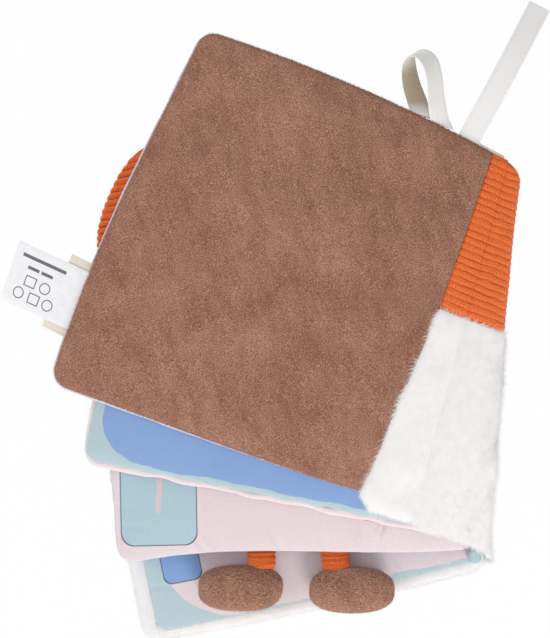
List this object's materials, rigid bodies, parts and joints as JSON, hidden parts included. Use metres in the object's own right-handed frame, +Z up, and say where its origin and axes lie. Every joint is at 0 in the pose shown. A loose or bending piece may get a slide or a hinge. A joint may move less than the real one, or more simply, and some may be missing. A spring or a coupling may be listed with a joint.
{
  "type": "crinkle cloth book",
  "caption": "Padded cloth baby book lying open like a fan: velour, plush and ribbed knit cover, printed cotton pages, soft feet, an ear, ribbon loop and strap.",
  "frame": {"origin": "centre of the bounding box's footprint, on the resting face", "axes": "+Z up through the closed stack of leaves, +X along the front cover's width towards the spine, +Y along the spine towards the covers' top edge"},
  "size_m": [0.2624, 0.2678, 0.0455],
  "materials": {
    "white_plush": "short-pile plush",
    "orange_rib_knit": "ribbed knit",
    "brown_velour": "brushed velour",
    "teal_cotton": "plain-weave cotton",
    "pink_cotton": "plain-weave cotton",
    "blue_cotton": "plain-weave cotton",
    "wadding": "polyester wadding",
    "crinkle_film": "thin matte film",
    "cream_ribbon": "woven ribbon",
    "white_satin": "satin tape",
    "beige_twill": "twill tape"
  },
  "bodies": {
    "front_cover": {"front_cover_plush_panel": "white_plush", "front_cover_knit_panel": "orange_rib_knit", "front_cover_crinkle_film": "crinkle_film", "front_cover_wadding": "wadding", "front_cover_lining": "teal_cotton", "spine_lining": "teal_cotton", "spine_plush_panel": "white_plush", "spine_knit_panel": "orange_rib_knit"},
    "lower_leaf": {"lower_leaf_underside_page": "blue_cotton", "lower_leaf_crinkle_film": "crinkle_film", "lower_leaf_wadding": "wadding", "lower_leaf_upper_page": "pink_cotton", "inner_fold_strip": "pink_cotton"},
    "upper_leaf": {"upper_leaf_underside_page": "pink_cotton", "upper_leaf_crinkle_film": "crinkle_film", "upper_leaf_wadding": "wadding", "upper_leaf_upper_page": "blue_cotton"},
    "back_cover": {"back_cover_lining": "teal_cotton", "back_cover_crinkle_film": "crinkle_film", "back_cover_wadding": "wadding", "back_cover_velour_panel": "brown_velour", "back_cover_knit_strip": "orange_rib_knit", "back_cover_plush_strip": "white_plush"},
    "left_leg": {"left_leg": "orange_rib_knit", "left_foot": "brown_velour"},
    "right_leg": {"right_leg": "orange_rib_knit", "right_foot": "brown_velour"},
    "ear": {"ear_front_knit": "orange_rib_knit", "ear_wadding": "wadding", "ear_back_knit": "orange_rib_knit"},
    "hanging_loop": {"hanging_loop": "cream_ribbon"},
    "strap": {"strap": "cream_ribbon"},
    "label": {"care_label": "white_satin", "twill_tag": "beige_twill"}
  },
  "joints": [
    {"name": "lower_leaf_turn", "type": "hinge", "parent": "front_cover", "child": "lower_leaf", "pos_m": [0.07046, -0.12071, 0.01115], "axis": [0.225, 0.9744, 0], "range_deg": [0, 115], "deforming": ["spine_lining", "spine_plush_panel", "spine_knit_panel"]},
    {"name": "upper_leaf_turn", "type": "hinge", "parent": "lower_leaf", "child": "upper_leaf", "pos_m": [0.07046, -0.12071, 0.02145], "axis": [0.225, 0.9744, 0], "range_deg": [0, 115], "deforming": ["inner_fold_strip"]},
    {"name": "back_cover_turn", "type": "hinge", "parent": "upper_leaf", "child": "back_cover", "pos_m": [0.07046, -0.12071, 0.02885], "axis": [0.225, 0.9744, 0], "range_deg": [0, 115]},
    {"name": "left_leg_swing", "type": "hinge", "parent": "front_cover", "child": "left_leg", "pos_m": [-0.03481, -0.06902, 0.0083], "axis": [0, 0, 1], "range_deg": [-8, 5]},
    {"name": "right_leg_swing", "type": "hinge", "parent": "front_cover", "child": "right_leg", "pos_m": [-0.00226, -0.07723, 0.0083], "axis": [0, 0, 1], "range_deg": [-5, 15]},
    {"name": "ear_fold", "type": "hinge", "parent": "front_cover", "child": "ear", "pos_m": [-0.04517, 0.03156, 0.0004], "axis": [1, 0, 0], "range_deg": [-90, 3]},
    {"name": "hanging_loop_flap", "type": "hinge", "parent": "back_cover", "child": "hanging_loop", "pos_m": [0.07317, 0.07768, 0.03335], "axis": [0.7934, -0.6087, 0], "range_deg": [-40, 20]},
    {"name": "strap_flap", "type": "hinge", "parent": "back_cover", "child": "strap", "pos_m": [0.08693, 0.06664, 0.03335], "axis": [0.7798, -0.6261, 0], "range_deg": [-60, 80]},
    {"name": "label_flap", "type": "hinge", "parent": "back_cover", "child": "label", "pos_m": [-0.09569, 0.03221, 0.03335], "axis": [0.5173, 0.8558, 0], "range_deg": [-20, 80]}
  ]
}
